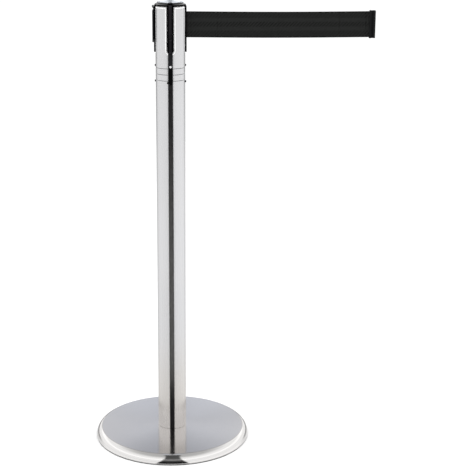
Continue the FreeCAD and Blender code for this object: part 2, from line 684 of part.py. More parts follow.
# ---- drum, spring and brake ---------------------------------------------------------------
def drum_hub():
    """Turned hub: the belt winds on its thick middle, and its tail reaches down into the spring cup."""
    hub = join([cyl(HUB_R, HUB_LOW, HUB_TOP), cyl(DRUM_R, DRUM_LOW, DRUM_TOP)])
    bore = cyl(SPINDLE_R + HUB_BORE_CLEAR, HUB_LOW - OVER, HUB_TOP + OVER)
    seats = [cyl(BUSH_R, HUB_LOW - OVER, HUB_LOW + BUSH_L), cyl(BUSH_R, HUB_TOP - BUSH_L, HUB_TOP + OVER)]
    groove = cyl(ANCHOR_GROOVE_R, BELT_LOW, BELT_TOP, ANCHOR_X, 0)
    return drill(hub, [bore, groove] + seats)


def make_drum():
    groove = ring(CIRCLIP_IN - CIRCLIP_SIDE, SPINDLE_R + OVER, CIRCLIP_Z - CIRCLIP_SIDE,
                  CIRCLIP_Z + CIRCLIP_T + CIRCLIP_SIDE)
    save("spindle", cyl(SPINDLE_R, CUP_LOW + CLEAR / 2, LID_TOP - OVER - CLEAR).cut(groove))
    clip_top = CIRCLIP_Z + CIRCLIP_T
    mouth = box(0, CIRCLIP_R + OVER, -CIRCLIP_MOUTH, CIRCLIP_MOUTH, CIRCLIP_Z - OVER, clip_top + OVER)
    save("spindle_circlip", ring(CIRCLIP_IN, CIRCLIP_R, CIRCLIP_Z, clip_top).cut(mouth))
    thrust = ring(SPINDLE_R + SPINDLE_FIT, THRUST_R, 0, THRUST_T)
    save("thrust_washers", raised(thrust, HUB_TOP + THRUST_GAP),
         raised(thrust, HUB_LOW - THRUST_GAP - THRUST_T))
    save("drum_hub", drum_hub())
    bush = ring(SPINDLE_R + SPINDLE_FIT, BUSH_R - HAIR, 0, BUSH_L)
    save("drum_bush_lower", raised(bush, HUB_LOW))
    save("drum_bush_upper", raised(bush, HUB_TOP - BUSH_L))
    flange = ring(HUB_R + HAIR, FLANGE_R, HAIR, FLANGE_T)
    save("drum_flange_upper", raised(flange, DRUM_TOP))
    save("drum_flange_lower", raised(flange, DRUM_LOW - FLANGE_T - HAIR))
    save("belt_anchor_pin", cyl(ANCHOR_R, BELT_LOW + OVER, BELT_TOP - OVER, ANCHOR_X, 0))
    save("belt_roll", ring(DRUM_R + 0.05, ROLL_R, BELT_LOW, BELT_TOP))


def shoe_pivot():
    """Pivot of the +X shoe."""
    a = math.radians(SHOE_PIVOT_A)
    return SHOE_PIVOT_R * math.cos(a), SHOE_PIVOT_R * math.sin(a)


def brake_shoe():
    """Curved brake shoe on the +X side, with its pivot hole and a groove for the garter spring."""
    arc = ring(SHOE_IN, SHOE_OUT, BRAKE_LOW + SHOE_INSET, BRAKE_TOP - SHOE_INSET)
    far = 2 * SHOE_OUT
    ends = [math.radians(a) for a in (-SHOE_SPAN, 0, SHOE_SPAN)]
    keep = prism_z([(0, 0)] + [(far * math.cos(a), far * math.sin(a)) for a in ends], BRAKE_LOW, BRAKE_TOP)
    groove = ring(GARTER_R - GARTER_GROOVE, SHOE_OUT + OVER,
                  BRAKE_MID - GARTER_GROOVE, BRAKE_MID + GARTER_GROOVE)
    hole = cyl(SHOE_PIN_R + SHOE_PIN_CLEAR, BRAKE_LOW, BRAKE_TOP + OVER, *shoe_pivot())
    return drill(arc.common(keep), [groove, hole])


def make_brake():
    save("brake_ring", ring(SHOE_OUT + BRAKE_RING_GAP, CORE_BORE - HAIR, BRAKE_LOW, BRAKE_TOP))
    shoe = brake_shoe()
    save("brake_shoe_a", shoe)
    save("brake_shoe_b", turn(shoe, 180))
    pin = cyl(SHOE_PIN_R, BRAKE_LOW + OVER, DRUM_LOW - FLANGE_T - 2 * HAIR, *shoe_pivot())
    save("brake_pins", pin, turn(pin, 180))
    save("brake_garter_spring", Part.makeTorus(GARTER_R, GARTER_WIRE_R, Vec(0, 0, BRAKE_MID)))


def spiral(r_start, pitch, half_turns, thickness, z0, z1):
    """Flat spiral strip made of half circles whose centres alternate, so that it grows evenly."""
    def half(r, cx, up):
        side = 1 if up else -1
        return Part.Arc(Vec(cx + side * r, 0, z0), Vec(cx, side * r, z0), Vec(cx - side * r, 0, z0)).toShape()
    step = pitch / 2
    rows = [(r_start + k * step, (step if k % 2 else 0.0), k % 2 == 0) for k in range(half_turns)]
    inner = [half(r - thickness / 2, cx, up) for r, cx, up in rows]
    outer = [half(r + thickness / 2, cx, up) for r, cx, up in rows]
    first = Part.makeLine(inner[0].Vertexes[0].Point, outer[0].Vertexes[0].Point)
    last = Part.makeLine(inner[-1].Vertexes[-1].Point, outer[-1].Vertexes[-1].Point)
    wire = Part.Wire(Part.__sortEdges__(inner + outer + [first, last]))
    return Part.Face(wire).extrude(Vec(0, 0, z1 - z0))


def make_spring():
    shell = ring(CUP_R - CUP_WALL, CUP_R, CUP_LOW, CUP_TOP - CUP_LID_SINK - CUP_LID_T - HAIR)
    floor = ring(SPINDLE_R + HAIR, CUP_R, CUP_LOW, CUP_LOW + CUP_FLOOR)
    save("spring_cup", join([shell, floor]))
    lid_top = CUP_TOP - CUP_LID_SINK
    save("spring_cup_lid", ring(FLOOR_HOLE_R, CUP_R, lid_top - CUP_LID_T, lid_top))
    save("power_spring", spiral(SPRING_IN, SPRING_PITCH, SPRING_HALF_TURNS, SPRING_T,
                                CUP_LOW + SPRING_SIDE, CUP_TOP - SPRING_SIDE))


# ---- belt and clips -----------------------------------------------------------------------
def short_grip():
    """Outline of the belt's own grip plate, as tall as its T-flange."""
    return [(CLIP_FACE, TEE_LOW), (CLIP_OUT, TEE_LOW), (CLIP_OUT, TEE_TOP), (CLIP_FACE, TEE_TOP)]


def long_grip():
    """Outline of the spare clip's grip plate, with a finger notch and a lip at its top."""
    return [(CLIP_FACE, CLIP_LOW), (CLIP_OUT, CLIP_LOW), (CLIP_OUT, CLIP_SHOULDER), (NOTCH_X, NOTCH_Z),
            (LIP_X, LIP_LOW), (LIP_X, LIP_TOP), (CLIP_FACE, CLIP_TOP)]


def clip_body(grip):
    """Belt clip as parked in the +X receiver: T-flange inside, slim grip plate outside."""
    plate = prism_y(grip, -CLIP_HALF, CLIP_HALF)
    plate = chamfer_where(plate, CLIP_BEVEL, lambda e, p: upright(e) and p.x > CLIP_OUT - HAIR)
    neck = box(TEE_OUT - OVER, CLIP_FACE + OVER, -NECK_HALF, NECK_HALF, TEE_LOW, TEE_TOP)
    tee = box(TEE_IN, TEE_OUT, -TEE_HALF, TEE_HALF, TEE_LOW, TEE_TOP)
    tee = chamfer_where(tee, TEE_BEVEL, lambda e, p: True)
    body = join([plate, neck, tee])
    bore = cyl(PIN_BORE, BELT_LOW - PIN_PAST - HAIR, TEE_TOP + OVER, PIN_X, 0)
    slit = box(PIN_X, CLIP_OUT + OVER, -BELT_SLIT, BELT_SLIT,
               BELT_LOW - BELT_SLIT_ROOM, BELT_TOP + BELT_SLIT_ROOM)
    return drill(body, [bore, slit])


def clip_pin():
    """Steel pin that keeps the belt's sewn loop in the clip."""
    return cyl(PIN_R, BELT_LOW - PIN_PAST, BELT_TOP + PIN_PAST, PIN_X, 0)


def pulled_out(shape):
    """A parked clip turned round so that its T points away from the post, at the belt's outer end."""
    copy = turn(shape, 180)
    copy.translate(Vec(BELT_END_X + TEE_IN, 0, 0))
    return copy


def strip_edges(roll_r, side):
    """One face of the belt from the roll, round the guide pin and out to the clip; side is -1 or 1."""
    shift = side * BELT_T / 2
    pin_y = guide_ys()[0]
    pin_r = -pin_y
    reach = math.hypot(GUIDE_X, pin_y)
    leave = math.atan2(pin_y, GUIDE_X) - math.acos((roll_r + pin_r) / reach)
    out = Vec(math.cos(leave), math.sin(leave), 0)
    start = out * (roll_r - shift)
    pin = Vec(GUIDE_X, pin_y, 0)
    touch = pin - out * (pin_r + shift)
    middle_a = (leave + math.pi + math.pi / 2) / 2
    middle = pin + Vec(math.cos(middle_a), math.sin(middle_a), 0) * (pin_r + shift)
    straight = Vec(GUIDE_X, shift, 0)
    end_x = BELT_END_X - (TEE_OUT - TEE_IN) / 2 - PIN_R - CLEAR / 2
    end = Vec(end_x, shift, 0)
    return [Part.makeLine(start, touch), Part.Arc(touch, middle, straight).toShape(),
            Part.makeLine(straight, end)], start, end


def belt_run():
    """The belt between the roll and its clip, with the sewn loop round the clip's pin."""
    near_side, near_start, near_end = strip_edges(ROLL_R + CLEAR, -1)
    far_side, far_start, far_end = strip_edges(ROLL_R + CLEAR, 1)
    edges = near_side + far_side + [Part.makeLine(near_start, far_start), Part.makeLine(near_end, far_end)]
    strip = Part.Face(Part.Wire(Part.__sortEdges__(edges))).extrude(Vec(0, 0, BELT_W))
    loop_x = BELT_END_X - (TEE_OUT - TEE_IN) / 2
    loop = ring(PIN_R + CLEAR / 3, PIN_R + CLEAR / 3 + BELT_T, 0, BELT_W, loop_x, 0)
    return raised(join([strip, loop]), BELT_LOW)


def make_belt():
    pin = clip_pin()
    save("belt_run", belt_run())
    save("belt_clip", pulled_out(clip_body(short_grip())))
    save("belt_clip_pin", pulled_out(pin))
    save("parked_clip", turn(clip_body(long_grip()), FACE_ANGLES["left"]))
    save("parked_clip_pin", turn(pin, FACE_ANGLES["left"]))


def main():
    os.makedirs("parts", exist_ok=True)
    make_base()
    make_post()
    make_head_shell()
    make_drum()
    make_brake()
    make_spring()
    make_belt()


main()
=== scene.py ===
"""Looks of the retractable belt stanchion, built round its CAD frame. Metres, +Z up, belt along +X."""
import json
import math

import bmesh
import bpy
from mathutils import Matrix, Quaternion, Vector, noise


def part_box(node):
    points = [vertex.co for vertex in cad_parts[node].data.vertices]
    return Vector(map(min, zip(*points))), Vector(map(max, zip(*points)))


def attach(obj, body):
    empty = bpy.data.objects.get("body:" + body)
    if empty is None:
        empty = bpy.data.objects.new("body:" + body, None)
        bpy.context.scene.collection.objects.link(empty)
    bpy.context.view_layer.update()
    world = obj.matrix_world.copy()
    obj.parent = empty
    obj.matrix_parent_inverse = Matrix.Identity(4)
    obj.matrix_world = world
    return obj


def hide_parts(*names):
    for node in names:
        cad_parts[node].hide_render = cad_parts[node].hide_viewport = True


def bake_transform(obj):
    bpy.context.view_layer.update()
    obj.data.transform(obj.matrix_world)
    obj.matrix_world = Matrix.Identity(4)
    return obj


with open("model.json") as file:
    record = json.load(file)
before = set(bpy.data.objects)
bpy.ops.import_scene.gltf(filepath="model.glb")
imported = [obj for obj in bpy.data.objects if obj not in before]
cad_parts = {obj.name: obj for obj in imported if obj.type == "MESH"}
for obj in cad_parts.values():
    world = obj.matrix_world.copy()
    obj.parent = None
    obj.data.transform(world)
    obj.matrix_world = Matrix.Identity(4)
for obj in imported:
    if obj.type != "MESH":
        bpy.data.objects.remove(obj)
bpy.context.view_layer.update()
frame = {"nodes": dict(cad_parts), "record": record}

MM = 0.001
NODES = frame["nodes"]


# ---- material helpers ---------------------------------------------------------------------
class Nodes:
    """A node tree with short calls for the nodes used here."""

    def __init__(self, tree, coordinates):
        self.tree = tree
        self.place = self.add("ShaderNodeTexCoord").outputs[coordinates]

    def add(self, kind, **settings):
        node = self.tree.nodes.new(kind)
        for key, value in settings.items():
            setattr(node, key, value)
        return node

    def put(self, socket, value):
        """Links an output to a socket, or sets the socket to a plain value."""
        if isinstance(value, bpy.types.NodeSocket):
            self.tree.links.new(value, socket)
        else:
            socket.default_value = value

    def stretched(self, scale):
        """The object's coordinates, in metres, times a scale along each axis."""
        node = self.add("ShaderNodeMapping")
        self.put(node.inputs["Vector"], self.place)
        node.inputs["Scale"].default_value = scale
        return node.outputs["Vector"]

    def noise(self, vector, detail, roughness=0.5):
        """Soft noise, one cell to a unit of the vector."""
        node = self.add("ShaderNodeTexNoise")
        self.put(node.inputs["Vector"], vector)
        node.inputs["Scale"].default_value = 1.0
        node.inputs["Detail"].default_value = detail
        node.inputs["Roughness"].default_value = roughness
        return node.outputs["Fac"]

    def grain(self, cells, detail, roughness=0.5):
        """Noise as fine along every axis: so many cells to the metre."""
        return self.noise(self.stretched((cells, cells, cells)), detail, roughness)

    def math(self, operation, a, b=0.0):
        node = self.add("ShaderNodeMath", operation=operation)
        self.put(node.inputs[0], a)
        self.put(node.inputs[1], b)
        return node.outputs["Value"]

    def spread(self, value, low, high, start=0.3, end=0.7):
        """Maps start..end of a value to low..high."""
        node = self.add("ShaderNodeMapRange")
        self.put(node.inputs["Value"], value)
        node.inputs["From Min"].default_value = start
        node.inputs["From Max"].default_value = end
        node.inputs["To Min"].default_value = low
        node.inputs["To Max"].default_value = high
        return node.outputs["Result"]

    def shades(self, value, dark, light, start=0.3, end=0.7):
        """A colour between two, by a value."""
        node = self.add("ShaderNodeValToRGB")
        self.put(node.inputs["Fac"], value)
        ramp = node.color_ramp.elements
        ramp[0].position, ramp[0].color = start, (*dark, 1)
        ramp[1].position, ramp[1].color = end, (*light, 1)
        return node.outputs["Color"]

    def bump(self, height, distance, strength):
        node = self.add("ShaderNodeBump")
        node.inputs["Distance"].default_value = distance
        node.inputs["Strength"].default_value = strength
        self.put(node.inputs["Height"], height)
        return node.outputs["Normal"]

    def smooth(self, value, start, end):
        """0 before start, 1 after end, and a smooth step between; start may be the larger."""
        node = self.add("ShaderNodeMapRange", interpolation_type="SMOOTHSTEP")
        self.put(node.inputs["Value"], value)
        node.inputs["From Min"].default_value = start
        node.inputs["From Max"].default_value = end
        return node.outputs["Result"]

    def mix(self, factor, a, b):
        """Colour a where the factor is 0, b where it is 1."""
        node = self.add("ShaderNodeMix", data_type="RGBA")
        self.put(node.inputs["Factor"], factor)
        for key, colour in (("A", a), ("B", b)):
            socket = next(i for i in node.inputs if i.name == key and i.type == "RGBA")
            self.put(socket, colour if isinstance(colour, bpy.types.NodeSocket) else (*colour, 1))
        return next(o for o in node.outputs if o.type == "RGBA")

    def ramp(self, value, stops, tint=(1, 1, 1)):
        """A grey that follows a row of (position, tone) stops, times a tint."""
        node = self.add("ShaderNodeValToRGB")
        self.put(node.inputs["Fac"], value)
        elements = node.color_ramp.elements
        while len(elements) < len(stops):
            elements.new(0.5)
        for element, (position, _) in zip(elements, stops):
            element.position = position
        for element, (_, tone) in zip(elements, stops):      # a second pass, because moving them sorts them
            element.color = (tone * tint[0], tone * tint[1], tone * tint[2], 1)
        return node.outputs["Color"]

    def axes(self):
        """X, Y and Z of the coordinates as single values."""
        node = self.add("ShaderNodeSeparateXYZ")
        self.put(node.inputs["Vector"], self.place)
        return node.outputs["X"], node.outputs["Y"], node.outputs["Z"]

    def radius(self):
        """Distance from the post's axis."""
        x, y, _ = self.axes()
        return self.math("SQRT", self.math("ADD", self.math("MULTIPLY", x, x), self.math("MULTIPLY", y, y)))

    def vector(self, x, y=0.0, z=0.0):
        node = self.add("ShaderNodeCombineXYZ")
        for socket, value in zip(node.inputs, (x, y, z)):
            self.put(socket, value)
        return node.outputs["Vector"]


class Graph(Nodes):
    """A material built on the Principled shader, in the object's own coordinates."""

    def __init__(self, name):
        self.material = bpy.data.materials.new(name)
        self.material.use_nodes = True
        super().__init__(self.material.node_tree, "Object")
        self.shader = self.tree.nodes["Principled BSDF"]

    def set(self, **values):
        """Sets or links the shader's own sockets, named with underscores for spaces."""
        for key, value in values.items():
            self.put(self.shader.inputs[key.replace("_", " ")], value)


# ---- places taken from the frame ----------------------------------------------------------
CROWN = 1.0 * MM         # how far the base's top falls from its middle to the crease at the rim
BEVEL_RISE = 3.5 * MM    # from the collar's bend, under its bevel, to its top
CLIP_FIT = 0.2 * MM      # gap between a clip and the floor of its T-slot
INSERT_LOW, INSERT_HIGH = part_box("receiver_front")
INSERT_HALF = INSERT_HIGH.x
PANEL_TOP_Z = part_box("head_panel_front_left")[1].z
CREASE_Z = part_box("base_cover")[1].z - CROWN
KEYS_LOW_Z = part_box("alignment_keys")[0].z
RINGS_TOP_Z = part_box("spacer_ring_upper")[1].z
COLLAR_BEND_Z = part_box("top_collar")[1].z - BEVEL_RISE
T_FLOOR_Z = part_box("belt_clip")[0].z - CLIP_FIT
BELT_LOW, BELT_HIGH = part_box("belt_run")
BELT_MID_Z = (BELT_LOW.z + BELT_HIGH.z) / 2
BELT_W = BELT_HIGH.z - BELT_LOW.z


# ---- metals -------------------------------------------------------------------------------
STREAKS = 900.0          # fine lines across a metre of drawn metal
FINE = 0.02 * MM         # height of the fine lines
RINGS, RINGS_UP = 1500.0, 600.0      # fine rings across a metre of spun metal, outwards and upwards
BASE_REFLECTION_FROM, BASE_REFLECTION_BY = 0.26, 0.07      # heights between which the post's tone turns warmer, a painted reflection of the base
FOOT_HIGHLIGHT_FROM, FOOT_HIGHLIGHT_BY = 0.075, 0.050    # heights between which it turns brighter near its bottom, a painted highlight
EDGE_HIGHLIGHT, EDGE_HIGHLIGHT_FADE = 3.2 * MM, 3.6 * MM   # width of the painted white highlight round the bevels, and where it has died out
RIM_FROM, RIM_BY = CREASE_Z - 0.1 * MM, CREASE_Z - 0.8 * MM


def drawn_lines(g):
    """Fine lines along Z over faint clouds, as an extrusion has: the lines, and both mixed."""
    lines = g.noise(g.stretched((STREAKS, STREAKS, 6)), detail=4)
    clouds = g.noise(g.stretched((14, 14, 5)), detail=2)
    mixed = g.math("ADD", g.math("MULTIPLY", lines, 0.45), g.math("MULTIPLY", clouds, 0.55))
    return lines, mixed


def post_metal(name):
    """Bright drawn aluminium, a little warmer towards the floor as a painted reflection of the base, and
    brighter near its bottom as a painted highlight.
    """
    g = Graph(name)
    lines, mixed = drawn_lines(g)
    cool = g.shades(mixed, (0.680, 0.680, 0.690), (0.740, 0.740, 0.752))
    base_reflection_tone = g.shades(mixed, (0.660, 0.635, 0.610), (0.730, 0.705, 0.680))
    foot_highlight_tone = g.shades(mixed, (0.890, 0.868, 0.850), (0.950, 0.930, 0.912))
    _, _, z = g.axes()
    # painted light: a reflection of the base lower down, and a highlight near the bottom, both painted into
    # the colour
    colour = g.mix(g.smooth(z, BASE_REFLECTION_FROM, BASE_REFLECTION_BY), cool, base_reflection_tone)
    g.set(Base_Color=g.mix(g.smooth(z, FOOT_HIGHLIGHT_FROM, FOOT_HIGHLIGHT_BY), colour, foot_highlight_tone), Metallic=1.0,
          Roughness=g.spread(lines, 0.20, 0.30), Normal=g.bump(lines, FINE, 0.25))
    return g.material


def near_insert(g):
    """Distance from the middle line of the nearest black insert, seen square to its face."""
    x, y, z = g.axes()
    across = g.math("MINIMUM", g.math("ABSOLUTE", x), g.math("ABSOLUTE", y))
    below = g.math("MINIMUM", g.math("SUBTRACT", z, INSERT_LOW.z + INSERT_HALF), 0.0)
    squares = g.math("ADD", g.math("MULTIPLY", across, across), g.math("MULTIPLY", below, below))
    return g.math("SQRT", squares)


def panel_metal(name):
    """The head panels: satin faces whose bevels round the inserts and along the top carry a painted white
    highlight.
    """
    g = Graph(name)
    lines, mixed = drawn_lines(g)
    satin = g.shades(mixed, (0.690, 0.690, 0.698), (0.745, 0.745, 0.755))
    painted_edge_highlight = g.shades(lines, (0.955, 0.955, 0.96), (1.0, 1.0, 1.0))
    _, _, z = g.axes()
    beside = g.smooth(near_insert(g), INSERT_HALF + EDGE_HIGHLIGHT_FADE, INSERT_HALF + EDGE_HIGHLIGHT)
    above = g.smooth(z, PANEL_TOP_Z - EDGE_HIGHLIGHT_FADE, PANEL_TOP_Z - EDGE_HIGHLIGHT)
    bevel = g.math("MAXIMUM", beside, above)
    # painted highlight: the bevels turn near white and almost unmetallic, so they read bright from every side
    g.set(Base_Color=g.mix(bevel, satin, painted_edge_highlight), Metallic=g.spread(bevel, 1.0, 0.1, 0.0, 1.0),
          Roughness=g.math("ADD", g.spread(lines, 0.20, 0.30), g.math("MULTIPLY", bevel, 0.3)),
          Normal=g.bump(lines, FINE, 0.25))
    return g.material


def spun_metal(name, dark, light, rough):
    """Polished metal with fine rings about the post's axis, as a spun disc has; its rim is painted far paler
    than the top, a painted highlight.
    """
    g = Graph(name)
    radius = g.radius()
    _, _, z = g.axes()
    rings = g.vector(g.math("MULTIPLY", radius, RINGS), 0.0, g.math("MULTIPLY", z, RINGS_UP))
    lines = g.noise(rings, detail=4)
    clouds = g.noise(g.stretched((5, 9, 9)), detail=2)
    mixed = g.math("ADD", g.math("MULTIPLY", lines, 0.2), g.math("MULTIPLY", clouds, 0.8))
    flat = g.shades(mixed, dark, light)
    # painted highlight: the rim of the same spun steel takes a far paler tone than the top
    rim = g.shades(lines, (0.785, 0.772, 0.762), (0.845, 0.832, 0.822))
    on_rim = g.smooth(z, RIM_FROM, RIM_BY)
    g.set(Base_Color=g.mix(on_rim, flat, rim),
          Metallic=1.0, Anisotropic=0.9, Anisotropic_Rotation=0.25,
          Roughness=g.math("MULTIPLY", g.spread(lines, rough - 0.02, rough + 0.02),
                           g.spread(on_rim, 1.0, 0.55, 0.0, 1.0)),
          Tangent=g.add("ShaderNodeTangent", direction_type="RADIAL", axis="Z").outputs["Tangent"],
          Normal=g.bump(lines, 0.000006, 0.15))
    return g.material


def plain_metal(name, dark, light, rough, grain=700.0, depth=FINE, metallic=1.0):
    """Metal with an even fine grain and faint cloudiness."""
    g = Graph(name)
    grain_noise = g.grain(grain, detail=3)
    clouds = g.grain(60, detail=2)
    g.set(Base_Color=g.shades(clouds, dark, light), Metallic=metallic,
          Roughness=g.spread(grain_noise, rough * 0.8, rough * 1.3),
          Normal=g.bump(grain_noise, depth, 0.4))
    return g.material


def screw_metal(name):
    """Plated screws: the ones at the front and back are painted near white, a painted highlight, and the ones
    at the sides dark, painted shade.
    """
    g = Graph(name)
    x, y, _ = g.axes()
    grain = g.grain(900, detail=3)
    side = g.smooth(g.math("SUBTRACT", g.math("ABSOLUTE", x), g.math("ABSOLUTE", y)), -2 * MM, 2 * MM)
    # painted highlight on the front and back screws, painted shade on the side ones
    bright = g.shades(grain, (0.90, 0.90, 0.91), (0.97, 0.97, 0.98))
    dull = g.shades(grain, (0.05, 0.05, 0.05), (0.12, 0.12, 0.12))
    g.set(Base_Color=g.mix(side, bright, dull), Metallic=g.spread(side, 0.25, 1.0, 0.0, 1.0),
          Roughness=g.spread(grain, 0.16, 0.26),
          Normal=g.bump(grain, 0.00001, 0.3))
    return g.material


# ---- plastics, rubber and cast iron -------------------------------------------------------
FADE = 1.0 * MM          # height over which one tone gives way to the next


def moulded_plastic(name, dark, light, rough, grain=2600.0, depth=0.06 * MM, specular=0.2):
    """Black plastic with a fine spark-eroded grain."""
    g = Graph(name)
    pores = g.grain(grain, detail=2)
    clouds = g.noise(g.stretched((35, 35, 20)), detail=3)
    g.set(Base_Color=g.shades(clouds, dark, light),
          Roughness=g.spread(pores, rough - 0.06, rough + 0.08),
          Specular_IOR_Level=specular,
          Normal=g.bump(pores, depth, 0.5))
    return g.material


def receiver_plastic(name):
    """Black inserts: near-black lips, and a paler strip down the middle that is darker below the T-slot's
    floor, painted shade.
    """
    g = Graph(name)
    x, y, z = g.axes()
    pores = g.grain(2600, detail=2)
    strip_streaks = g.noise(g.stretched((700, 700, 14)), detail=3)
    across = g.math("MINIMUM", g.math("ABSOLUTE", x), g.math("ABSOLUTE", y))
    strip = g.smooth(across, 2.9 * MM, 2.2 * MM)
    lips = g.shades(pores, (0.0004, 0.0004, 0.0006), (0.0014, 0.0013, 0.0018))
    middle_strip_tone = g.shades(strip_streaks, (0.032, 0.030, 0.035), (0.064, 0.060, 0.069))
    # painted shade: below the T-slot's floor the strip's tone drops to a quarter
    strip = g.math("MULTIPLY", strip, g.spread(z, 0.25, 1.0, T_FLOOR_Z - FADE, T_FLOOR_Z))
    g.set(Base_Color=g.mix(strip, lips, middle_strip_tone), Roughness=g.spread(pores, 0.50, 0.62), Specular_IOR_Level=0.03,
          Normal=g.bump(pores, 0.00005, 0.4))
    return g.material


def collar_plastic(name):
    """Black moulded ring: a dull upright side under a bevel that handling has polished."""
    g = Graph(name)
    _, _, z = g.axes()
    pores = g.grain(900, detail=2)
    polished = g.smooth(z, COLLAR_BEND_Z - 0.1 * MM, COLLAR_BEND_Z + 0.1 * MM)
    g.set(Base_Color=g.shades(pores, (0.0006, 0.0006, 0.0009), (0.0020, 0.0020, 0.0026)),
          Roughness=g.math("SUBTRACT", g.spread(pores, 0.42, 0.52), g.math("MULTIPLY", polished, 0.30)),
          Specular_IOR_Level=g.spread(polished, 0.03, 0.70, 0.0, 1.0), Normal=g.bump(pores, 0.00001, 0.4))
    return g.material


def extruded_plastic(name):
    """Dark plastic strip with faint streaks from the die, paler at mid height and black beside the rings."""
    g = Graph(name)
    streaks = g.noise(g.stretched((1400, 1400, 3)), detail=3)
    dust = g.noise(g.stretched((500, 500, 120)), detail=4)
    mixed = g.math("ADD", g.math("MULTIPLY", streaks, 0.5), g.math("MULTIPLY", dust, 0.5))
    plain_tone = g.shades(mixed, (0.004, 0.0036, 0.004), (0.022, 0.021, 0.022))
    mid_height_tone = g.shades(mixed, (0.042, 0.042, 0.041), (0.096, 0.095, 0.092))
    _, _, z = g.axes()
    mid_height_mask = g.math("MULTIPLY", g.smooth(z, 0.07, 0.17), g.smooth(z, 0.74, 0.30))
    keys = g.math("MULTIPLY", g.smooth(z, KEYS_LOW_Z - FADE, KEYS_LOW_Z),
                  g.smooth(z, RINGS_TOP_Z + FADE, RINGS_TOP_Z))
    colour = g.mix(keys, g.mix(mid_height_mask, plain_tone, mid_height_tone), (0.0012, 0.0012, 0.0014))
    g.set(Base_Color=colour, Roughness=g.spread(streaks, 0.50, 0.62), Specular_IOR_Level=0.05,
          Normal=g.bump(streaks, 0.00005, 0.4))
    return g.material


def cast_iron(name):
    """Rough grey casting with a sandy skin."""
    g = Graph(name)
    sand = g.grain(420, detail=5)
    g.set(Base_Color=g.shades(sand, (0.035, 0.034, 0.033), (0.085, 0.08, 0.075)), Metallic=0.4,
          Roughness=g.spread(sand, 0.6, 0.85), Normal=g.bump(sand, 0.0003, 0.6))
    return g.material


# ---- webbing ------------------------------------------------------------------------------
RIB = 6.4 * MM           # from one diagonal rib to the next along the belt; half that in the paler bands
WARP = 0.62 * MM         # from one lengthwise thread to the next
WEFT = 0.55 * MM         # and from one crosswise thread to the next
SELVEDGE = 2.0 * MM      # width of the denser edge
PALE_BAND = 8.3 * MM     # middle of both paler bands, from the belt's middle
PALE_HALF = 3.7 * MM


def woven_webbing(name):
    """Black webbing in five lengthwise bands: ribs lean one way in three, and back in the paler two."""
    g = Graph(name)
    x, _, z = g.axes()
    up = g.math("SUBTRACT", z, BELT_MID_Z)
    across = g.math("ABSOLUTE", up)
    from_pale = g.math("ABSOLUTE", g.math("SUBTRACT", across, PALE_BAND))
    pale = g.smooth(from_pale, PALE_HALF + 0.5 * MM, PALE_HALF - 0.5 * MM)
    wander = g.math("MULTIPLY", g.grain(60, detail=1), 1.5 * MM)
    along = g.math("ADD", x, wander)
    forth = g.math("SINE", g.math("MULTIPLY", g.math("SUBTRACT", along, up), math.tau / RIB))
    back = g.math("SINE", g.math("MULTIPLY", g.math("ADD", along, up), 2 * math.tau / RIB))
    ribs = g.math("ADD", g.math("MULTIPLY", forth, g.math("SUBTRACT", 1.0, pale)),
                  g.math("MULTIPLY", g.math("MULTIPLY", back, pale), 0.5))
    warp = g.math("SINE", g.math("MULTIPLY", z, math.tau / WARP))
    weft = g.math("SINE", g.math("MULTIPLY", x, math.tau / WEFT))
    fuzz = g.grain(2400, detail=3)
    flecks = g.grain(420, detail=4, roughness=0.65)
    edge = g.smooth(across, BELT_W / 2 - 1.2 * SELVEDGE, BELT_W / 2 - 0.8 * SELVEDGE)
    ribs = g.math("MULTIPLY", ribs, g.math("SUBTRACT", 1.0, edge))
    threads = g.math("MULTIPLY", g.math("MULTIPLY", warp, weft), 0.35)
    height = g.math("ADD", g.math("MULTIPLY", ribs, 0.5), threads)
    height = g.math("ADD", height, g.math("MULTIPLY", fuzz, 0.5))
    # the rib crests lighten the colour: a painted highlight over the weave's rib pattern
    tone = g.math("ADD", g.math("MULTIPLY", ribs, 0.24), g.math("MULTIPLY", flecks, 0.9))
    tone = g.math("ADD", tone, g.math("MULTIPLY", pale, 0.16))
    tone = g.math("SUBTRACT", tone, g.math("MULTIPLY", edge, 0.15))
    g.set(Base_Color=g.shades(tone, (0.0055, 0.0058, 0.0056), (0.0270, 0.0278, 0.0270), 0.15, 1.0),
          Roughness=g.spread(fuzz, 0.85, 0.97), Specular_IOR_Level=0.05,
          Normal=g.bump(height, 0.00010, 0.5))
    return g.material


def sewing_thread(name):
    """Twisted black thread, a shade paler than the webbing."""
    g = Graph(name)
    x, _, z = g.axes()
    twist = g.math("SINE", g.math("MULTIPLY", g.math("ADD", x, z), math.tau / (0.25 * MM)))
    fibres = g.grain(5000, detail=2)
    height = g.math("ADD", g.math("MULTIPLY", twist, 0.5), fibres)
    g.set(Base_Color=g.shades(height, (0.010, 0.010, 0.010), (0.045, 0.045, 0.043), 0.1, 1.0),
          Roughness=g.spread(fibres, 0.6, 0.8), Specular_IOR_Level=0.25, Normal=g.bump(height, 0.00004, 0.5))
    return g.material


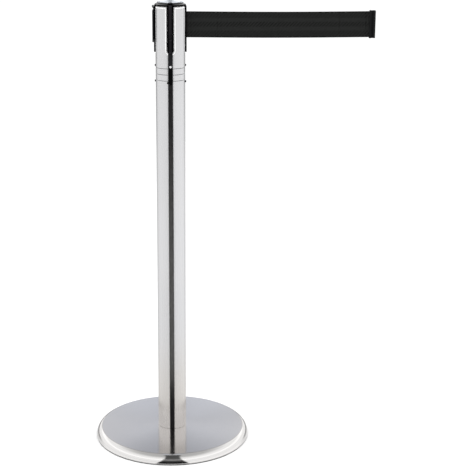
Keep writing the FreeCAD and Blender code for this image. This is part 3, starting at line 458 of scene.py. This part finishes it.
POST_METAL = post_metal("bright_metal")
PANEL_METAL = panel_metal("bright_metal_panel")
THREAD = sewing_thread("belt_thread")
MATERIALS = {
    "bright_metal": POST_METAL,
    "base_steel": spun_metal("base_steel", (0.445, 0.430, 0.424), (0.495, 0.478, 0.470), 0.17),
    "cap_chrome": plain_metal("cap_chrome", (0.78, 0.82, 0.88), (0.86, 0.90, 0.95), 0.18,
                              grain=300.0, depth=0.2 * FINE, metallic=0.75),
    "receiver_plastic": receiver_plastic("receiver_plastic"),
    "collar_plastic": collar_plastic("collar_plastic"),
    "clip_plastic": moulded_plastic("clip_plastic", (0.006, 0.006, 0.0065), (0.014, 0.014, 0.015), 0.5,
                                    specular=0.06),
    "infill_plastic": extruded_plastic("infill_plastic"),
    "frame_plastic": moulded_plastic("frame_plastic", (0.006, 0.006, 0.007), (0.014, 0.014, 0.016), 0.5,
                                     specular=0.1),
    "screw_steel": screw_metal("screw_steel"),
    "pin_steel": plain_metal("pin_steel", (0.55, 0.55, 0.56), (0.66, 0.66, 0.67), 0.28),
    "zinc_steel": plain_metal("zinc_steel", (0.50, 0.51, 0.50), (0.64, 0.64, 0.60), 0.38, grain=500.0),
    "cast_weight": cast_iron("cast_weight"),
    "mat_rubber": moulded_plastic("mat_rubber", (0.008, 0.008, 0.008), (0.018, 0.018, 0.018), 0.75,
                                  grain=1200.0, depth=0.1 * MM),
    "webbing": woven_webbing("webbing"),
    "drum_alloy": plain_metal("drum_alloy", (0.62, 0.62, 0.63), (0.72, 0.72, 0.73), 0.32),
    "bush_bronze": plain_metal("bush_bronze", (0.45, 0.30, 0.14), (0.58, 0.41, 0.20), 0.42, grain=900.0),
    "spring_steel": plain_metal("spring_steel", (0.16, 0.18, 0.24), (0.26, 0.28, 0.34), 0.30),
    "brake_lining": plain_metal("brake_lining", (0.24, 0.22, 0.20), (0.34, 0.32, 0.30), 0.55,
                                grain=1200.0, depth=3 * FINE),
}


def paint_cad_nodes():
    """Gives every CAD node the material of its slot in the record; the head panels get their own, with the
    painted bevel highlight.
    """
    for part in frame["record"]["subparts"]:
        node = NODES[part["node"]]
        node.data.materials.clear()
        panel = part["node"].startswith("head_panel")
        node.data.materials.append(PANEL_METAL if panel else MATERIALS[part["material_slot"]])


# ---- belt ---------------------------------------------------------------------------------
BELT_T = 0.55 * MM       # the webbing's thickness between its ribs
SELVEDGE_T = 0.80 * MM   # and at its edges
SAG = 1.1 * MM           # how far the belt hangs down between head and clip
FACE_STEPS = 16          # points down its face; every other one stands out a little
FACE_RISE = 0.10         # by this share of its thickness
RIPPLE = 0.35 * MM       # gentle waves across the belt
LEAN = 0.012             # how far it leans to either side of upright
ROW = 2.0 * MM           # mesh rows along the belt
GUIDE_R = 1.5 * MM       # radius of the pins that the belt runs between
CLIP_PIN_R = 1.1 * MM
CLIP_PIN_X = sum(end.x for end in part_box("belt_clip_pin")) / 2
RUN_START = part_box("guide_pins")[1].x
RUN_END = CLIP_PIN_X - 1.5 * MM
SHARES = (0.0, 0.04, 0.18, 0.5, 0.82, 0.96, 1.0)     # where one drawn length ends and the next begins
SLIP = 0.05 * MM         # gap between the belt and the guide pin that it bears on
LOOP_SLIP = 0.08 * MM    # and between its loop and the clip's pin
ROLL_GAP = 0.3 * MM      # gap on either side of the roll's outline
HUB_GAP = 0.35 * MM      # gap between the drum's hub and the first turn
TURN_T = 0.34 * MM       # thickness of a wound turn
TURNS, TURN_STEPS = 20, 30
HEM = 5.5 * MM           # how far the hem reaches behind the clip
NECK = 3.5 * MM          # where its two sides close in, behind the pin
HEM_FOLD = 0.62          # how far each side lies from the hem's middle, in thicknesses
STITCH_ROWS = (1.4 * MM, 3.8 * MM)   # how far each row of stitches lies from the hem's end
STITCH_PITCH = 2.6 * MM
STITCH_LENGTH = 0.8 * STITCH_PITCH
STITCH_MARGIN = 3.0 * MM             # from the belt's edge to a row's end
THREAD_R = 0.16 * MM
THREAD_STEPS, THREAD_SIDES = 6, 8


def link(name, mesh):
    piece = bpy.data.objects.new(name, mesh)
    bpy.context.collection.objects.link(piece)
    return piece


def skin_mesh(name, rings):
    """A closed mesh through rings of points, capped at both ends."""
    shape = bmesh.new()
    rows = [[shape.verts.new(point) for point in ring] for ring in rings]
    count = len(rows[0])
    for a, b in zip(rows, rows[1:]):
        for k in range(count):
            shape.faces.new((a[k], a[(k + 1) % count], b[(k + 1) % count], b[k]))
    shape.faces.new(list(reversed(rows[0])))
    shape.faces.new(rows[-1])
    bmesh.ops.recalc_face_normals(shape, faces=shape.faces)
    for face in shape.faces:
        face.smooth = len(face.verts) == 4
    mesh = bpy.data.meshes.new(name)
    shape.to_mesh(mesh)
    shape.free()
    return mesh


def belt_section():
    """Outline of the webbing, as (y, z) from its middle: a flat band with thick rounded edges."""
    half = BELT_W / 2
    bead = SELVEDGE_T / 2
    flank = 0.9 * bead
    edge = [(bead * math.sin(a), half - bead + bead * math.cos(a))
            for a in (math.radians(d) for d in range(15, 180, 30))]
    ramp = [(flank, half - SELVEDGE), (BELT_T / 2, half - 1.3 * SELVEDGE)]
    face = [(BELT_T / 2 * (1 + FACE_RISE * (k % 2)), half * (1 - 2 * k / FACE_STEPS))
            for k in range(2, FACE_STEPS - 1)]
    side = edge + ramp + face + [(y, -z) for y, z in reversed(edge + ramp)]
    return side + [(-y, z) for y, z in reversed(side)]


def belt_line(x):
    """Middle of the belt at a distance from the post: it hangs a little and ripples slightly sideways."""
    span = RUN_END - RUN_START
    t = min(max((x - RUN_START) / span, 0.0), 1.0)
    calm = math.sin(math.pi * t)
    wave = noise.noise(Vector((x * 9.0, 3.1, 0.0))) * RIPPLE * calm
    return wave, BELT_MID_Z - SAG * calm ** 1.2


def run_x(share):
    return RUN_START + share * (RUN_END - RUN_START)


def webbing_piece(name, rings):
    """A closed piece of webbing through rings of points."""
    mesh = skin_mesh(name, rings)
    mesh.materials.append(MATERIALS["webbing"])
    piece = link(name, mesh)
    return piece


def belt_rows(x0, x1):
    """The belt's outline at even steps from x0 to x1, leaning a little to and fro."""
    steps = max(round((x1 - x0) / ROW), 2)
    for k in range(steps + 1):
        x = x0 + (x1 - x0) * k / steps
        y0, z0 = belt_line(x)
        lean = noise.noise(Vector((x * 6.0, 0.0, 7.7))) * LEAN * math.sin(math.pi * k / steps)
        yield [Vector((x, y0 + y + lean * z, z0 + z)) for y, z in belt_section()]


def rings_along(path, thickness=1.0):
    """The belt's outline set square to a level path at each of its points."""
    rings = []
    for k, point in enumerate(path):
        along = (path[min(k + 1, len(path) - 1)] - path[max(k - 1, 0)]).normalized()
        side = Vector((-along.y, along.x, 0))
        rings.append([point + side * y * thickness + Vector((0, 0, BELT_MID_Z + z))
                      for y, z in belt_section()])
    return rings


def path_length(path):
    return sum((b - a).length for a, b in zip(path, path[1:]))


def make_belt_lengths():
    """The visible belt as lengths that follow one after another along its run."""
    for number, (t0, t1) in enumerate(zip(SHARES, SHARES[1:]), start=1):
        x0, x1 = run_x(t0), run_x(t1)
        piece = webbing_piece(f"belt_length_{number}", list(belt_rows(x0, x1)))
        piece.visible_glossy = False
        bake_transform(piece)
        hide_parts("belt_run")


def make_belt_inside():
    """The belt's short way from the roll to the guide pins, which leaves the roll at a slant."""
    pin_x = RUN_START - GUIDE_R
    pin_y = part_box("guide_pins")[0].y + GUIDE_R
    pin = Vector((pin_x, pin_y, 0))
    roll_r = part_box("belt_roll")[1].x + ROLL_GAP
    off = GUIDE_R + BELT_T / 2 + SLIP
    leave = math.atan2(pin_y, pin_x) - math.acos((roll_r + off) / math.hypot(pin_x, pin_y))
    out = Vector((math.cos(leave), math.sin(leave), 0))
    touch = leave + math.pi
    turns = [touch + (math.pi / 2 - touch) * k / 6 for k in range(7)]
    path = [out * (roll_r + BELT_T / 2)]
    path += [pin + off * Vector((math.cos(a), math.sin(a), 0)) for a in turns]
    path.append(Vector((RUN_START, 0, 0)))
    piece = webbing_piece("belt_inside", rings_along(path))
    path_length(path)
    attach(piece, "root")
    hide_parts("belt_run")


def make_belt_end():
    """The sewn loop round the clip's pin, with two rows of stitches across the belt."""
    hem_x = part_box("belt_clip")[0].x - HEM
    neck_x = CLIP_PIN_X - NECK
    loop_r = CLIP_PIN_R + BELT_T / 2 + LOOP_SLIP
    fold = HEM_FOLD * BELT_T
    arc = [math.radians(d) for d in range(-135, 136, 30)]
    path = [Vector((hem_x, -fold, 0)), Vector((neck_x, -fold, 0))]
    path += [Vector((CLIP_PIN_X + loop_r * math.cos(a), loop_r * math.sin(a), 0)) for a in arc]
    path += [Vector((neck_x, fold, 0)), Vector((hem_x, fold, 0))]
    hem = webbing_piece("belt_hem", rings_along(path, thickness=0.9))
    stitches = make_stitches(hem_x)
    path_length(path)
    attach(hem, "belt_end")
    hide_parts("belt_run")


def make_stitches(hem_x):
    """Two rows of thread across the hem, on both of its sides."""
    shape = bmesh.new()
    reach = BELT_W / 2 - STITCH_MARGIN
    count = int(2 * reach / STITCH_PITCH)
    for row in STITCH_ROWS:
        for side in (-1, 1):
            for k in range(count):
                z = BELT_MID_Z - reach + (k + 0.5) * STITCH_PITCH
                add_stitch(shape, Vector((hem_x + row, side * BELT_T * 1.12, z)), side)
    mesh = bpy.data.meshes.new("belt_stitches")
    shape.to_mesh(mesh)
    shape.free()
    mesh.materials.append(THREAD)
    piece = link("belt_stitches", mesh)
    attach(piece, "belt_end")
    return piece


def add_stitch(shape, middle, side):
    """One stitch: a thread that dips into the webbing at both ends."""
    turns = [math.tau * n / THREAD_SIDES for n in range(THREAD_SIDES)]
    rings = []
    for k in range(THREAD_STEPS + 1):
        t = k / THREAD_STEPS - 0.5
        dip = (2 * t) ** 4 * 0.35 * MM
        centre = middle + Vector((0, -side * dip, t * STITCH_LENGTH))
        rings.append([shape.verts.new(centre + THREAD_R * Vector((math.cos(a), math.sin(a), 0)))
                      for a in turns])
    for a, b in zip(rings, rings[1:]):
        for n in range(THREAD_SIDES):
            after = (n + 1) % THREAD_SIDES
            face = shape.faces.new((a[n], a[after], b[after], b[n]))
            face.smooth = True
    shape.faces.new(list(reversed(rings[0])))
    shape.faces.new(rings[-1])


def make_belt_roll():
    """The wound belt on its drum: one spiral strip with a thin gap between its turns."""
    low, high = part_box("belt_roll")
    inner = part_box("drum_hub")[1].x + HUB_GAP
    outer = high.x - ROLL_GAP
    half = TURN_T / 2
    section = ((-half, low.z), (half, low.z), (half, high.z), (-half, high.z))
    rings = []
    for k in range(TURNS * TURN_STEPS + 1):
        share = k / (TURNS * TURN_STEPS)
        radius = inner + (outer - inner) * share
        angle = math.tau * TURNS * share
        out = Vector((math.cos(angle), math.sin(angle), 0))
        rings.append([out * (radius + dy) + Vector((0, 0, z)) for dy, z in section])
    piece = webbing_piece("belt_winding", rings)
    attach(piece, "drum")
    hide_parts("belt_roll")


# ---- stage --------------------------------------------------------------------------------
FLOOR_R = 3.0


def make_floor():
    """A wide pale sheet of paper, barely textured."""
    mesh = bpy.data.meshes.new("floor")
    shape = bmesh.new()
    bmesh.ops.create_circle(shape, cap_ends=True, segments=96, radius=FLOOR_R)
    shape.to_mesh(mesh)
    shape.free()
    floor = link("floor", mesh)
    g = Graph("floor_paper")
    fibres = g.grain(3, detail=2)
    g.set(Base_Color=g.shades(fibres, (0.90, 0.90, 0.90), (0.92, 0.92, 0.92)), Roughness=0.9,
          Specular_IOR_Level=0.0)
    mesh.materials.append(g.material)
    floor.visible_glossy = False


# What polished surfaces mirror, as (place, tone) stops. Heights run from level, 0, to straight up, 1.
BACKDROP = ((0.00, 1.60), (0.31, 1.55), (0.35, 1.18), (0.39, 0.99), (0.415, 1.02), (0.44, 0.98),
            (0.468, 0.72), (0.52, 0.42), (0.60, 0.10), (0.85, 0.10), (0.90, 0.55), (1.0, 0.55))
BACKDROP_TINT = (0.95, 1.0, 1.10)
WALLS = ((0.0, 1.0), (0.30, 1.0), (0.36, 1.25), (0.46, 1.25), (0.55, 1.0), (0.70, 1.0), (0.90, 0.55),
         (1.0, 0.50))
GAP = ((0.0, 0.01), (0.06, 0.08), (0.33, 0.09), (0.36, 0.42), (0.46, 0.42), (0.50, 0.11), (1.0, 0.07))
# The floor, by the way it lies from the object: 0 the front, 1 the back.
FLOOR_FAR = ((0.0, 0.95), (0.50, 1.00), (0.72, 1.02), (0.80, 0.85), (0.86, 0.38), (1.0, 0.24))
FLOOR_NEARER = ((0.0, 1.12), (0.50, 1.12), (0.70, 1.10), (0.80, 0.92), (0.86, 0.84), (1.0, 0.82))
FLOOR_NEAREST = ((0.0, 0.78), (0.50, 0.85), (0.70, 0.95), (0.80, 0.95), (1.0, 0.92))
# Between which directions one of these gives way to the next, along X, Y or Z of a direction one long.
BACKDROP_SIDE = (0.13, 0.05)
BACK_BEGINS = (0.05, 0.15)
FRONT_BEGINS = (0.05, -0.05)
HORIZON = (0.015, -0.015)
TO_NEARER = (-0.14, -0.24)
TO_NEAREST = (-0.392, -0.410)
LEFT_BEGINS = (0.15, -0.15)
LEFT_LOSS = 0.06         # how much darker the floor is on the left
GAP_SIDE = (0.34, 0.28)
GAP_TAPER = 0.2          # how much narrower the gap gets towards the top
GAP_END = (-0.45, -0.40)
WHITE = 1.05             # what the camera and the soft light see


def studio_tone(w):
    """A white room with a narrow backdrop behind the object, and a dark gap in front with one grey band."""
    x, y, z = w.axes()
    level = w.math("SQRT", w.math("ADD", w.math("MULTIPLY", x, x), w.math("MULTIPLY", y, y)))
    heading = w.math("DIVIDE", y, w.math("MAXIMUM", level, 0.001))
    aside = w.math("ABSOLUTE", x)
    behind = w.math("MULTIPLY", w.smooth(aside, *BACKDROP_SIDE), w.smooth(y, *BACK_BEGINS))
    above = w.mix(behind, w.ramp(z, WALLS), w.ramp(z, BACKDROP, BACKDROP_TINT))
    around = w.math("ADD", w.math("MULTIPLY", heading, 0.5), 0.5)
    below = w.mix(w.smooth(z, *TO_NEARER), w.ramp(around, FLOOR_FAR), w.ramp(around, FLOOR_NEARER))
    below = w.mix(w.smooth(z, *TO_NEAREST), below, w.ramp(around, FLOOR_NEAREST))
    left = w.math("MULTIPLY", w.smooth(x, *LEFT_BEGINS), LEFT_LOSS)
    below = w.mix(left, below, (0.0, 0.0, 0.0))
    room = w.mix(w.smooth(z, *HORIZON), above, below)
    gap = w.smooth(w.math("ADD", aside, w.math("MULTIPLY", z, GAP_TAPER)), *GAP_SIDE)
    gap = w.math("MULTIPLY", gap, w.smooth(y, *FRONT_BEGINS))
    gap = w.math("MULTIPLY", gap, w.smooth(z, *GAP_END))
    return w.mix(gap, room, w.ramp(z, GAP))


def make_world():
    """White to the camera and for soft light; mirrors see the studio instead."""
    world = bpy.data.worlds.new("studio")
    world.use_nodes = True
    w = Nodes(world.node_tree, "Generated")
    path = w.add("ShaderNodeLightPath")
    plain = world.node_tree.nodes["Background"]
    plain.inputs["Color"].default_value = (1, 1, 1, 1)
    plain.inputs["Strength"].default_value = WHITE
    mirrored = w.add("ShaderNodeBackground")
    w.put(mirrored.inputs["Color"], studio_tone(w))
    choice = w.add("ShaderNodeMixShader")
    w.put(choice.inputs[0], path.outputs["Is Glossy Ray"])
    w.put(choice.inputs[1], plain.outputs[0])
    w.put(choice.inputs[2], mirrored.outputs[0])
    w.put(world.node_tree.nodes["World Output"].inputs["Surface"], choice.outputs[0])
    bpy.context.scene.world = world


def soft_box(name, place, target, size, power):
    """A large soft lamp that lights the scene but isn't seen in reflections."""
    data = bpy.data.lights.new(name, "AREA")
    data.shape = "RECTANGLE"
    data.size, data.size_y = size
    data.energy = power
    lamp = link(name, data)
    lamp.location = place
    lamp.rotation_euler = (Vector(target) - Vector(place)).to_track_quat("-Z", "Y").to_euler()
    lamp.visible_glossy = False


def make_lights():
    make_world()
    soft_box("key_left", (-2.2, -2.0, 2.4), (0, 0, 0.4), (2.0, 2.4), 12)
    soft_box("fill_right", (2.6, -1.8, 2.2), (0, 0, 0.4), (2.0, 2.4), 12)
    soft_box("top", (0, 0.2, 3.2), (0, 0, 0), (4.0, 4.0), 40)


# ---- camera -------------------------------------------------------------------------------
CAMERA_PLACE = Vector((0.0, -2.493, 1.136))
CAMERA_YAW = math.radians(1.85)
CAMERA_PITCH = math.radians(15.0)
CAMERA_ROLL = math.radians(0.17)
CAMERA_LENS = 98.8
CAMERA_SHIFT = (0.050, -0.040)


def make_camera():
    data = bpy.data.cameras.new("camera")
    data.lens = CAMERA_LENS
    data.shift_x, data.shift_y = CAMERA_SHIFT
    camera = link("camera", data)
    forward = Vector((math.sin(CAMERA_YAW) * math.cos(CAMERA_PITCH),
                      math.cos(CAMERA_YAW) * math.cos(CAMERA_PITCH), -math.sin(CAMERA_PITCH)))
    camera.location = CAMERA_PLACE
    camera.rotation_mode = "QUATERNION"
    camera.rotation_quaternion = forward.to_track_quat("-Z", "Y") @ Quaternion((0, 0, 1), CAMERA_ROLL)
    bpy.context.scene.camera = camera


paint_cad_nodes()
make_belt_lengths()
make_belt_inside()
make_belt_end()
make_belt_roll()
make_floor()
make_lights()
make_camera()
bpy.context.scene.view_settings.view_transform = "Standard"
